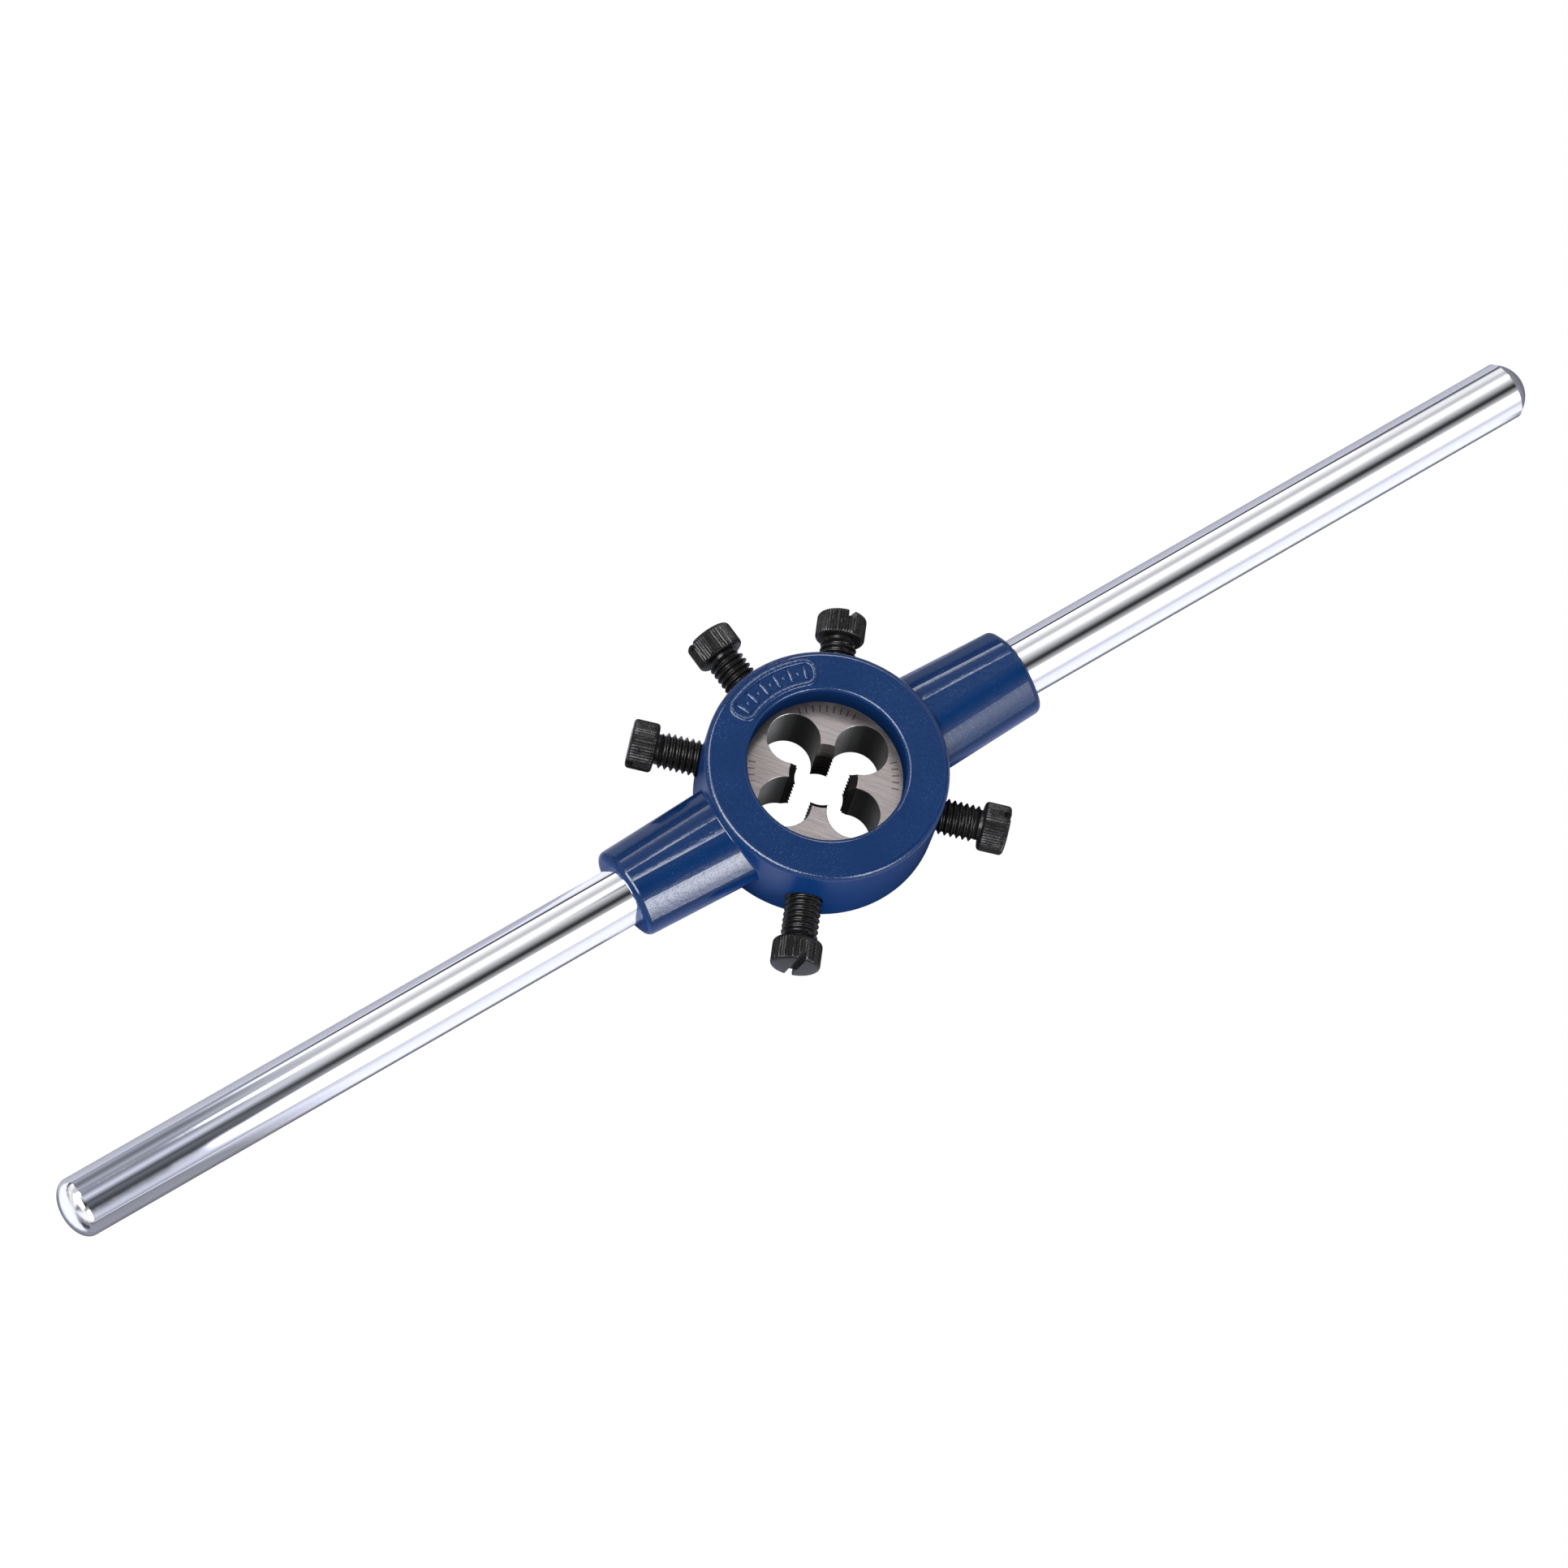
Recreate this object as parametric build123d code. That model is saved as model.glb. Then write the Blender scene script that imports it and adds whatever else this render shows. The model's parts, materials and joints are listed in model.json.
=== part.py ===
from build123d import *
from math import asin, cos, degrees, radians, sin, sqrt, tan
import os

# A hand die stock with its round die, as nine pieces: one casting, two handles, the die and five screws.
# Millimetres and degrees. The origin is on the ring's axis at its underside, X runs along the handles,
# Z points up out of the shoulder side, and the centre screw stands towards +Y.

os.makedirs("parts", exist_ok=True)

# Round die
die_diameter = 25.0
die_thickness = 9.0
die_edge_chamfer = 0.4
die_turn = 3.9
thread_minor_diameter = 6.8
lead_diameter = 9.0
lead_angle = 50.0
chip_hole_count = 4
chip_hole_diameter = 6.95
chip_hole_radius = 6.32
dimple_diameter = 4.0

# Ring of the casting
ring_diameter = 32.0
shoulder_thickness = 3.9
shoulder_hole_diameter = 20.8
die_recess = 0.1
die_clearance = 0.05
ring_top_round = 0.75
ring_bottom_round = 1.2
shoulder_hole_round = 0.5
pocket_mouth_chamfer = 0.3
ring_seam_angle = 70.0

# Bosses of the casting
boss_end = 30.9
boss_wall = 1.1
boss_end_half_width = 6.25
boss_root_half_width = 6.95
boss_flat_end_width = 1.4
boss_flat_root_width = 2.2
boss_flat_shift = 0.35
boss_edge_angle = 5.0
boss_shoulder_angle = 31.7
boss_flank_angle = 45.7
boss_flank_radius = 12.0
boss_end_round = 0.9
boss_below_edge = 0.4
boss_root_overlap = 0.14
boss_root_fillet = 0.25

# Handles
handle_diameter = 8.0
spigot_diameter = 7.5
overall_length = 228.4
handle_seat_depth = 13.5
handle_clearance = 0.02
handle_end_gap = 0.2
dome_height = 1.9
dome_edge_step = 0.15

# Screws
pattern_turn = 1.9
side_screw_angle = 43.1
screw_height = 5.2
screw_thread_diameter = 4.8
screw_clearance = 0.05
screw_reach = 9.55
screw_tip_diameter = 1.6
screw_neck_diameter = 4.1
screw_neck_length = 0.6
screw_head_diameter = 6.5
screw_head_length = 3.5
screw_head_chamfer = 0.4
knurl_count = 32
knurl_depth = 0.2
slot_width = 1.15
slot_depth = 1.3

# Each screw: angle from the centre screw, distance backed off from the die, and turn of its slot
screws = {
    "centre_screw": (0.0, 0.9, 20.0),
    "upper_left_screw": (side_screw_angle, 0.9, 10.0),
    "upper_right_screw": (-side_screw_angle, 0.15, 109.0),
    "lower_left_screw": (180.0 - side_screw_angle, 1.0, 80.0),
    "lower_right_screw": (side_screw_angle - 180.0, 0.7, 72.0),
}

# Places that follow from the sizes
die_bottom = die_recess
seat_height = die_bottom + die_thickness
ring_height = seat_height + shoulder_thickness
ring_radius = ring_diameter / 2
pocket_radius = die_diameter / 2 + die_clearance
boss_half_height = spigot_diameter / 2 + handle_clearance + boss_wall
handle_height = ring_height - ring_top_round - boss_below_edge - boss_half_height
handle_seat = boss_end - handle_seat_depth
handle_tip = overall_length / 2
boss_root = sqrt(ring_radius**2 - boss_root_half_width**2) - boss_root_overlap
boss_bottom = handle_height - boss_half_height
# The fillet takes at most this share of the ring's straight wall above and below a boss
root_fillet_share = 0.65
root_wall = min(boss_below_edge, boss_bottom - ring_bottom_round)
boss_root_round = min(boss_root_fillet, root_fillet_share * root_wall)
die_middle = die_bottom + die_thickness / 2
dimple_tip = (die_diameter - dimple_diameter) / 2
screw_seated_tip = dimple_tip + screw_tip_diameter / 2


def across(x, height):
    # A sketch plane square to the handles, with its own X along +Y and its own Y along +Z
    return Plane(origin=(x, 0, height), x_dir=(0, 1, 0), z_dir=(1, 0, 0))


def along_screw(angle, height, distance=0.0):
    # A plane square to a screw, that far out from the ring's axis, with Z outwards and X level
    outwards = (cos(radians(angle)), sin(radians(angle)), 0)
    level = (-sin(radians(angle)), cos(radians(angle)), 0)
    middle = (distance * outwards[0], distance * outwards[1], height)
    return Plane(origin=middle, x_dir=level, z_dir=outwards)


def turned(points):
    # A solid of revolution about Z from its half section, given as radius and height
    outline = Plane.XZ * make_face(Polyline(*points, close=True))
    return revolve(outline, Axis.Z)


def boss_quarter(edge, out):
    # Three arcs, each tangent to the next: the shoulder from the flat's edge, the flank, and the side,
    # which is upright at the widest place. The shoulder and the side share what the flank leaves.
    first, second, third = (radians(a) for a in (boss_edge_angle, boss_shoulder_angle, boss_flank_angle))
    width = abs(out - edge) - boss_flank_radius * (sin(third) - sin(second))
    height = boss_half_height - boss_flank_radius * (cos(second) - cos(third))
    shoulder_width, shoulder_height = sin(second) - sin(first), cos(first) - cos(second)
    side_width, side_height = 1 - sin(third), cos(third)
    spread = shoulder_width * side_height - side_width * shoulder_height
    shoulder_radius = (width * side_height - height * side_width) / spread
    side_radius = (height * shoulder_width - width * shoulder_height) / spread
    outwards = 1 if out > edge else -1
    place, heading = (edge, boss_half_height), (outwards * cos(first), -sin(first))
    arcs = []
    for radius, turn in (
        (shoulder_radius, second - first),
        (boss_flank_radius, third - second),
        (side_radius, radians(90) - third),
    ):
        arcs.append(JernArc(place, heading, radius, -outwards * degrees(turn)))
        place, heading = arcs[-1] @ 1, arcs[-1] % 1
    return arcs


def boss_section(x, half_width, flat_width):
    # A flattened section: a narrow flat above and below, falling away on both sides to a rounded side.
    # The flats stand a little to the +Y side of the middle.
    near_edge = boss_flat_shift + flat_width / 2
    far_edge = boss_flat_shift - flat_width / 2
    flat = Line((far_edge, boss_half_height), (near_edge, boss_half_height))
    upper = [*boss_quarter(far_edge, -half_width), flat, *boss_quarter(near_edge, half_width)]
    lower = [mirror(edge, Plane.XZ) for edge in upper]
    return across(x, handle_height) * make_face([*upper, *lower])


def make_boss(side):
    end = boss_section(side * boss_end, boss_end_half_width, boss_flat_end_width)
    root = boss_section(side * boss_root, boss_root_half_width, boss_flat_root_width)
    boss = loft([root, end])
    rim = boss.edges().group_by(Axis.X)[-1 if side > 0 else 0]
    return fillet(rim, boss_end_round)


def corners_at(outline, height):
    # The outline's corners at one height, from the ring's axis outwards
    return outline.vertices().filter_by_position(Axis.Y, height, height).sort_by(Axis.X)


def make_ring():
    outline = make_face(
        Polyline(
            (pocket_radius, 0),
            (ring_radius, 0),
            (ring_radius, ring_height),
            (shoulder_hole_diameter / 2, ring_height),
            (shoulder_hole_diameter / 2, seat_height),
            (pocket_radius, seat_height),
            close=True,
        )
    )
    outline = fillet(corners_at(outline, ring_height)[-1], ring_top_round)
    outline = fillet(corners_at(outline, 0)[-1], ring_bottom_round)
    outline = fillet(corners_at(outline, ring_height)[0], shoulder_hole_round)
    outline = chamfer(corners_at(outline, 0)[0], pocket_mouth_chamfer)
    # The seam of the turned faces lies clear of the bosses and the screws
    return Rot(0, 0, ring_seam_angle) * revolve(Plane.XZ * outline, Axis.Z)


def meets_ring(edge):
    # True for an edge where a boss runs into the ring's straight wall
    on_wall = all(abs(corner.X**2 + corner.Y**2 - ring_radius**2) < 0.01 for corner in edge.vertices())
    beside_boss = abs(edge.center().Y) < boss_root_half_width
    within_boss = abs(edge.center().Z - handle_height) < boss_half_height + 0.01
    return on_wall and beside_boss and within_boss


def make_stock_body():
    # Where a boss would reach into the die's pocket, it is cut back to the pocket's wall
    pocket = Pos(0, 0, seat_height / 2) * Cylinder(pocket_radius, seat_height)
    body = make_ring() + (make_boss(1) - pocket) + (make_boss(-1) - pocket)
    body = fillet(body.edges().filter_by(meets_ring), boss_root_round)
    for side in (1, -1):
        bore = across(side * handle_seat, handle_height) * Circle(spigot_diameter / 2 + handle_clearance)
        body -= extrude(bore, side * handle_seat_depth * 2)
    for angle, _, _ in screws.values():
        bore = Circle(screw_thread_diameter / 2 + screw_clearance)
        body -= extrude(along_screw(90 + pattern_turn + angle, screw_height) * bore, ring_radius * 2)
    return body


def make_handle(side):
    # A plain rod with a spigot in the boss, a shoulder on the boss's end face, and a turned dome
    radius = handle_diameter / 2
    spigot = spigot_diameter / 2
    start = handle_seat + handle_end_gap
    dome_start = handle_tip - dome_height
    dome_radius = radius - dome_edge_step
    sphere = (dome_radius**2 + dome_height**2) / (2 * dome_height)
    half_turn = asin(dome_radius / sphere) / 2
    halfway = (handle_tip - sphere + sphere * cos(half_turn), sphere * sin(half_turn))
    inside = [(handle_tip, 0), (start, 0), (start, spigot), (boss_end, spigot)]
    outside = [(boss_end, radius), (dome_start, radius), (dome_start, dome_radius)]
    dome = ThreePointArc(outside[-1], halfway, (handle_tip, 0))
    outline = make_face([Polyline(*inside, *outside), dome])
    handle = Pos(0, 0, handle_height) * revolve(outline, Axis.X)
    return handle if side > 0 else mirror(handle, Plane.YZ)


def make_round_die():
    radius = die_diameter / 2
    bore = thread_minor_diameter / 2
    lead = lead_diameter / 2
    lead_depth = (lead - bore) / tan(radians(lead_angle))
    top = die_bottom + die_thickness
    die = turned(
        [
            (bore, die_bottom + lead_depth),
            (lead, die_bottom),
            (radius - die_edge_chamfer, die_bottom),
            (radius, die_bottom + die_edge_chamfer),
            (radius, top - die_edge_chamfer),
            (radius - die_edge_chamfer, top),
            (lead, top),
            (bore, top - lead_depth),
        ]
    )
    for index in range(chip_hole_count):
        angle = radians(die_turn + index * 360 / chip_hole_count)
        middle = (chip_hole_radius * cos(angle), chip_hole_radius * sin(angle), die_middle)
        die -= Pos(*middle) * Cylinder(chip_hole_diameter / 2, die_thickness * 2)
    # A dimple's cone is square at its tip, so it is as wide at any place as twice its depth there
    dimple = turned([(0, 0), (dimple_diameter, dimple_diameter), (0, dimple_diameter)])
    for angle, _, _ in screws.values():
        die -= along_screw(90 + pattern_turn + angle, screw_height, dimple_tip) * dimple
    return die


def make_screw(angle, backed_off, slot_turn):
    shank = screw_thread_diameter / 2
    tip = screw_tip_diameter / 2
    head = screw_head_diameter / 2
    neck = screw_neck_diameter / 2
    chamfer_in = head - screw_head_chamfer
    under_head = screw_reach
    top = under_head + screw_head_length
    core = turned(
        [
            (0, 0),
            (tip, 0),
            (shank, shank - tip),
            (shank, under_head - screw_neck_length - (shank - neck)),
            (neck, under_head - screw_neck_length),
            (neck, under_head + screw_head_chamfer),
            (0, under_head + screw_head_chamfer),
        ]
    )
    blank = turned(
        [
            (0, under_head),
            (chamfer_in, under_head),
            (head, under_head + screw_head_chamfer),
            (head, top - screw_head_chamfer),
            (chamfer_in, top),
            (0, top),
        ]
    )
    ridges = []
    for index in range(knurl_count * 2):
        radius = head if index % 2 == 0 else head - knurl_depth
        turn = radians(index * 180 / knurl_count)
        ridges.append((radius * cos(turn), radius * sin(turn)))
    flutes = Pos(0, 0, under_head) * extrude(make_face(Polyline(*ridges, close=True)), screw_head_length)
    knurled_head = blank & flutes
    slot = Pos(0, 0, top) * Rot(0, 0, slot_turn) * Box(screw_head_diameter * 2, slot_width, slot_depth * 2)
    screw = core + knurled_head - slot
    return along_screw(90 + pattern_turn + angle, screw_height, screw_seated_tip + backed_off) * screw


pieces = {
    "stock_body": make_stock_body(),
    "left_handle": make_handle(-1),
    "right_handle": make_handle(1),
    "round_die": make_round_die(),
}
for name, values in screws.items():
    pieces[name] = make_screw(*values)

for name, solid in pieces.items():
    export_step(solid, f"parts/{name}.step")
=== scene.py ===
import json
import random
from math import asin, atan2, cos, hypot, pi, radians, sin, tan

import bmesh
import bpy
from mathutils import Matrix, Vector


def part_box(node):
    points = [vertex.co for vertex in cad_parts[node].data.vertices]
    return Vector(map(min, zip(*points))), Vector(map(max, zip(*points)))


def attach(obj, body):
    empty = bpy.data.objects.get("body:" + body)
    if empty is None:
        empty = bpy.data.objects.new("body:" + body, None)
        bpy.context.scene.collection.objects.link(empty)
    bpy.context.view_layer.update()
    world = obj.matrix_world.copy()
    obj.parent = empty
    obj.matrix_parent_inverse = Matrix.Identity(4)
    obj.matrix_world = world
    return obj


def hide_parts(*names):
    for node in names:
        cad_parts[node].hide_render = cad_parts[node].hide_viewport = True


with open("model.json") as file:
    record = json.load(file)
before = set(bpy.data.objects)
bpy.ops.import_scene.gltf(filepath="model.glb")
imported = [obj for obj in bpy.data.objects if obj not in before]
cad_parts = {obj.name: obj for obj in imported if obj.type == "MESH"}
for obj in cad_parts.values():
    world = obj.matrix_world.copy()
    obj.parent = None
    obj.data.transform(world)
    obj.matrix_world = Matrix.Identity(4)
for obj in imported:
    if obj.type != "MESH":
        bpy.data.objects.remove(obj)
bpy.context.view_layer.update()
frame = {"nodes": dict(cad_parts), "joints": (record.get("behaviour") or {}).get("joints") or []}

mm = 0.001

# View of the photograph
view_heading = radians(38.303)
view_dip = radians(65.998)
view_roll = radians(19.387)
view_place = Vector((-0.27435, -0.21102, 0.77972))
view_lens = 150.39
view_sensor = 36

# Driving dimensions of the casting
ring_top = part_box("stock_body")[1].z
rod_height = (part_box("left_handle")[0].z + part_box("left_handle")[1].z) / 2
rod_radius = (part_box("left_handle")[1].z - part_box("left_handle")[0].z) / 2
rod_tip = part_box("right_handle")[1].x
rod_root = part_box("right_handle")[0].x
boss_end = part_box("stock_body")[1].x
spigot_radius = 3.75 * mm

# The handles' ends: a smooth dome on the left, and on the right a crisp one that ends past the solid
dome_step = 0.15 * mm
crisp_dome_height = 2.5 * mm
crisp_dome_past = 0.35 * mm
crisp_dome_chamfer_in = 0.04 * mm
crisp_dome_chamfer_along = 0.05 * mm
round_dome_height = 2.4 * mm
round_dome_bright = 0.5 * mm
plate_haze_size = 3 * mm
plate_wave_size = 2.5 * mm
plate_wave_lengths = (4, 1, 1)
plate_wave = 0.01
turned_line_size = 0.16 * mm
turned_depth = 0.02
plate_gloss = [(0.3, 0.03), (0.7, 0.045)]
dome_dullness = 0.14
crisp_dome_dullness = 0.2
plate_colour = (0.93, 0.93, 0.95, 1)
crisp_dome_colour = (0.32, 0.32, 0.345, 1)

# Form and grain of the casting's enamel, with the heights of the grain in millimetres
ring_radius = 16.0 * mm
hole_radius = 10.4 * mm
flat_shift = 0.35 * mm
flat_root_half = 1.07 * mm
flat_end_half = 0.7 * mm
flat_hollow = 0.042
enamel_drift_size = 6 * mm
enamel_peel_size = 0.45 * mm
enamel_peel_lengths = (1.6, 1, 1)
enamel_peel = 0.014
# The ring has this share less of the orange peel than the bosses
ring_peel_less = 0.4
enamel_dot_size = 0.2 * mm
enamel_dot_stops = [(0.62, 0.0), (0.74, 1.0)]
enamel_dots = 0.0032
cast_grain_size = 0.25 * mm
rim_grain = 0.032
label_grain = 0.035
enamel_ior = 1.38
enamel_gloss = 0.1
# Stops over how far a face looks up: grain on the rims, dullness of the wall, and from the wall's painted
# light
rim_slopes = [(0.15, 0.5), (0.4, 1.0), (0.93, 1.0), (0.99, 0.0)]
wall_dullness = [(0.1, 0.2), (0.45, 0.0)]
wall_painted_light_slopes = [(0.1, 0.0), (0.6, 1.0)]
enamel_deep = (0.0009, 0.008, 0.032, 1)
enamel_bright = (0.0015, 0.0105, 0.04, 1)
enamel_speck = (0.009, 0.025, 0.065, 1)
enamel_wall_painted_light = (0.001, 0.019, 0.085, 1)
# Stops over the depth in the shoulder's hole, for its matt skin and its painted shade
hole_wall_start = [(0.04, 0.0), (0.13, 1.0)]
hole_wall_painted_shade = [(0.15, (0.003, 0.0135, 0.05, 1)), (0.8, (0.0016, 0.007, 0.026, 1))]

# Driving dimensions of the screws
screw_height = 5.2 * mm
thread_radius = 2.4 * mm
thread_root_radius = 1.95 * mm
thread_pitch = 0.8 * mm
thread_start = 0.35 * mm
# One turn of the thread, as shares of its pitch and of its depth
thread_outline = [(0.0, 0.0), (0.12, 0.07), (0.42, 0.95), (0.5, 1.0), (0.58, 0.95), (0.88, 0.07)]
thread_runout_slope = 1.2
# The core stands a little inside the thread's root, and the thread is cut off as far before its end
core_sink = 0.03 * mm
cone_cover = 0.01 * mm
runout_sink = 0.02 * mm
neck_taper = 0.2 * mm
tip_radius = 0.8 * mm
screw_reach = 9.55 * mm
neck_radius = 2.0 * mm
neck_length = 0.3 * mm
head_radius = 3.25 * mm
head_length = 3.5 * mm
head_chamfer = 0.4 * mm
head_round = 0.5 * mm
knurl_count = 54
knurl_depth = 0.11 * mm
knurl_outline = (0.0, 0.6, 1.0, 0.6)
knurl_depth_spread = (0.55, 1.35)
knurl_wear_spread = (0.8, 1.2)
slot_width = 1.05 * mm
slot_depth = 1.0 * mm
slot_turns = {
    "centre_screw": radians(20),
    "upper_left_screw": radians(10),
    "upper_right_screw": radians(109),
    "lower_left_screw": radians(80),
    "lower_right_screw": radians(72),
}
black_fleck_size = 0.3 * mm
black_fleck_depth = 0.04 * mm
black_shades = [(0.35, (0.002, 0.0019, 0.0018, 1)), (0.7, (0.006, 0.0058, 0.0056, 1))]
black_gloss = [(0.3, 0.12), (0.7, 0.3)]
black_ior = 1.28

# Driving dimensions of the die
die_low, die_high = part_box("round_die")
die_radius = (die_high.x - die_low.x) / 2
die_edge = 0.4 * mm
die_turn = radians(3.9)
die_thread_radius = 3.97 * mm
die_bore_radius = 3.58 * mm
die_pitch = 1.058 * mm
die_lead_radius = 4.5 * mm
die_lead_angle = radians(44)
tap_outline = [(0.0, 0.0), (0.1, 0.0), (0.46, 0.95), (0.54, 1.0), (0.62, 0.95), (0.98, 0.0)]
chip_hole_radius = 3.475 * mm
chip_hole_place = 6.32 * mm
chip_hole_rim = 0.06 * mm
dimple_depth = 2.0 * mm
dimple_gap = 0.03 * mm
brush_turn = radians(-52.4)
brush_lengths = (30, 1, 3)
fine_brush_size = 0.07 * mm
fine_brush_share = 0.6
broad_brush_size = 0.3 * mm
broad_brush_share = 0.4
ground_patch_size = 3 * mm
brush_depth = 0.015 * mm
ground_shades = [
    (0.34, (0.11, 0.096, 0.09, 1)),
    (0.5, (0.15, 0.134, 0.129, 1)),
    (0.66, (0.19, 0.172, 0.168, 1)),
]
ground_gloss = [(0.3, 0.3), (0.7, 0.38)]
# The face is darker on the side away from this direction
face_light = (0.82, -0.55)
face_light_reach = 20 * mm
face_shadow_stops = [(0.1, 0.3), (0.3, 0.0)]
face_shadow = (0.03, 0.027, 0.025, 1)
# Painted light on the chip holes' walls: they are lightest where they face this direction, and darkest where
# they face across it
wall_light = (0.62, -0.785)
chip_wall_painted_light = [(0.05, 0.35), (0.2, 0.12), (0.36, 0.045), (0.55, 0.07), (0.75, 0.32), (0.92, 1.0)]
# Painted shade of the die's thread, by its height in the bore
thread_painted_shade = [(0.7, (0.006, 0.005, 0.005, 1)), (0.97, (0.045, 0.039, 0.036, 1))]

# Plain ticks etched on the die's face, as the angles where each row starts and ends
tick_rows = [(28, 79), (-45, -17), (136, 154)]
tick_step = radians(5.6)
tick_share = 0.2
tick_inner = 8.95 * mm
tick_outer = 9.9 * mm
etched_stops = [(0.2, 0.5), (0.6, 0.85)]
etched_colour = (0.025, 0.011, 0.007, 1)

# Driving dimensions of the raised label frame
label_middle = radians(91.3)
label_half_angle = radians(27.6)
label_inner = 11.4 * mm
label_outer = 14.6 * mm
label_corner = 1.3 * mm
label_bead = 0.3 * mm
label_flat = 0.13 * mm
label_rise = 0.3 * mm
label_mark_count = 11
label_mark_half = 0.38 * mm
label_mark_spread = 0.8
label_bar = 1.4 * mm


class Value:
    """A socket of a node tree. Arithmetic on it adds Math nodes."""

    def __init__(self, shader, socket):
        self.shader = shader
        self.socket = socket

    def maths(self, operation, first, second=0.0):
        return self.shader.node("ShaderNodeMath", {"operation": operation}, {0: first, 1: second})

    def __add__(self, other):
        return self.maths("ADD", self, other)

    __radd__ = __add__

    def __sub__(self, other):
        return self.maths("SUBTRACT", self, other)

    def __rsub__(self, other):
        return self.maths("SUBTRACT", other, self)

    def __mul__(self, other):
        return self.maths("MULTIPLY", self, other)

    __rmul__ = __mul__

    def __truediv__(self, other):
        return self.maths("DIVIDE", self, other)

    def above(self, other):
        return self.maths("GREATER_THAN", self, other)

    def most(self, other):
        return self.maths("MAXIMUM", self, other)

    def least(self, other):
        return self.maths("MINIMUM", self, other)

    def power(self, other):
        return self.maths("POWER", self, other)

    def size(self):
        return self.maths("ABSOLUTE", self)


class Shader:
    """The nodes of one material or of the world."""

    def __init__(self, tree):
        self.tree = tree
        tree.nodes.clear()

    def node(self, kind, settings, values, output=0):
        made = self.tree.nodes.new(kind)
        for name, setting in settings.items():
            if name == "stops":
                self.set_stops(made.color_ramp, setting)
            else:
                setattr(made, name, setting)
        for name, value in values.items():
            if isinstance(value, Value):
                self.tree.links.new(value.socket, made.inputs[name])
            else:
                made.inputs[name].default_value = value
        return Value(self, made.outputs[output]) if made.outputs else None

    def set_stops(self, ramp, stops):
        while len(ramp.elements) < len(stops):
            ramp.elements.new(1.0)
        for element, (place, colour) in zip(ramp.elements, stops):
            element.position = place
            element.color = colour if isinstance(colour, tuple) else (colour, colour, colour, 1)

    def place(self):
        return self.node("ShaderNodeTexCoord", {}, {}, "Object")

    def stretched(self, place, lengths, turn=0.0):
        """Grain on this place is longer along each axis by the lengths, with the axes turned about Z."""
        values = {"Vector": place, "Rotation": (0, 0, turn), "Scale": lengths}
        return self.node("ShaderNodeMapping", {"vector_type": "TEXTURE"}, values)

    def part(self, vector, axis):
        return self.node("ShaderNodeSeparateXYZ", {}, {"Vector": vector}, axis)

    def grain(self, place, size, detail=2.0, rough=0.5):
        values = {"Vector": place, "Scale": 1 / size, "Detail": detail, "Roughness": rough}
        return self.node("ShaderNodeTexNoise", {}, values, "Fac")

    def ramp(self, factor, stops):
        return self.node("ShaderNodeValToRGB", {"stops": stops}, {"Fac": factor})

    def blend(self, factor, first, second):
        values = {"Factor": factor, 6: first, 7: second}
        return self.node("ShaderNodeMix", {"data_type": "RGBA"}, values, 2)

    def bump(self, height, distance):
        values = {"Height": height, "Distance": distance, "Strength": 1.0}
        return self.node("ShaderNodeBump", {}, values, "Normal")

    def surface(self, constants, values, dull=None, dull_colour=None):
        """The main shader, and where it is dull a matt one mixed over it."""
        settings = {**constants, **values}
        shader = self.node("ShaderNodeBsdfPrincipled", {}, settings)
        if dull is not None:
            matt = self.node("ShaderNodeBsdfDiffuse", {}, {"Color": dull_colour})
            shader = self.node("ShaderNodeMixShader", {}, {0: dull, 1: shader, 2: matt})
        self.node("ShaderNodeOutputMaterial", {}, {"Surface": shader})


def new_material(name):
    material = bpy.data.materials.new(name)
    material.use_nodes = True
    return material, Shader(material.node_tree)


def make_blue_enamel(name, grain_height, everywhere):
    """Gloss enamel over a cast skin, with grain on the ring's rounded rims or else everywhere."""
    material, shader = new_material(name)
    place = shader.place()
    reach = distance_from(shader.part(place, "X"), shader.part(place, "Y"), 0, 0)
    up = shader.part(shader.node("ShaderNodeNewGeometry", {}, {}, "Normal"), "Z")
    on_ring = 1 - reach.above(ring_radius + 0.1 * mm)
    drift = shader.grain(place, enamel_drift_size, 2.0)
    peel = shader.grain(shader.stretched(place, enamel_peel_lengths), enamel_peel_size, 3.0, 0.6)
    dots = shader.ramp(shader.grain(place, enamel_dot_size, 1.0), enamel_dot_stops)
    rough = shader.grain(place, cast_grain_size, 2.0, 0.6)
    rim = shader.ramp(up, rim_slopes) * on_ring
    flat = shader.blend(drift, enamel_deep, enamel_bright)
    flat = shader.blend(dots * drift, flat, enamel_speck)
    # Upright faces get a lighter blue: painted light, so that they look as lit as the top
    colour = shader.blend(shader.ramp(up, wall_painted_light_slopes), enamel_wall_painted_light, flat)
    height = peel * (enamel_peel * (1 - on_ring * ring_peel_less)) + dots * drift * enamel_dots
    height = height + rough * grain_height * rim.most(everywhere) + boss_hollow_height(shader, place)
    normal = shader.bump(height, 1 * mm)
    # The wall of the hole has a matt skin, with painted shade that darkens it downwards
    depth = (ring_top - shader.part(place, "Z")) / (ring_top - die_high.z)
    within = (1 - reach.above(hole_radius + 0.3 * mm)) * shader.ramp(depth, hole_wall_start)
    matt = shader.ramp(depth, hole_wall_painted_shade)
    # The ring's upright wall is a little duller than the rest
    roughness = shader.ramp(up, wall_dullness) * on_ring + enamel_gloss
    values = {"Base Color": colour, "Normal": normal, "Roughness": roughness}
    shader.surface({"IOR": enamel_ior}, values, within, matt)
    return material


def boss_hollow_height(shader, place):
    """The height that makes the left boss's flat very slightly hollow across, in millimetres."""
    x = 0 - shader.part(place, "X")
    share = (x - ring_radius) / (boss_end - ring_radius)
    half = flat_root_half + share * (flat_end_half - flat_root_half)
    across = (shader.part(place, "Y") - flat_shift) / half
    return (across * across).least(1.0) * x.above(ring_radius) * flat_hollow


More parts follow.
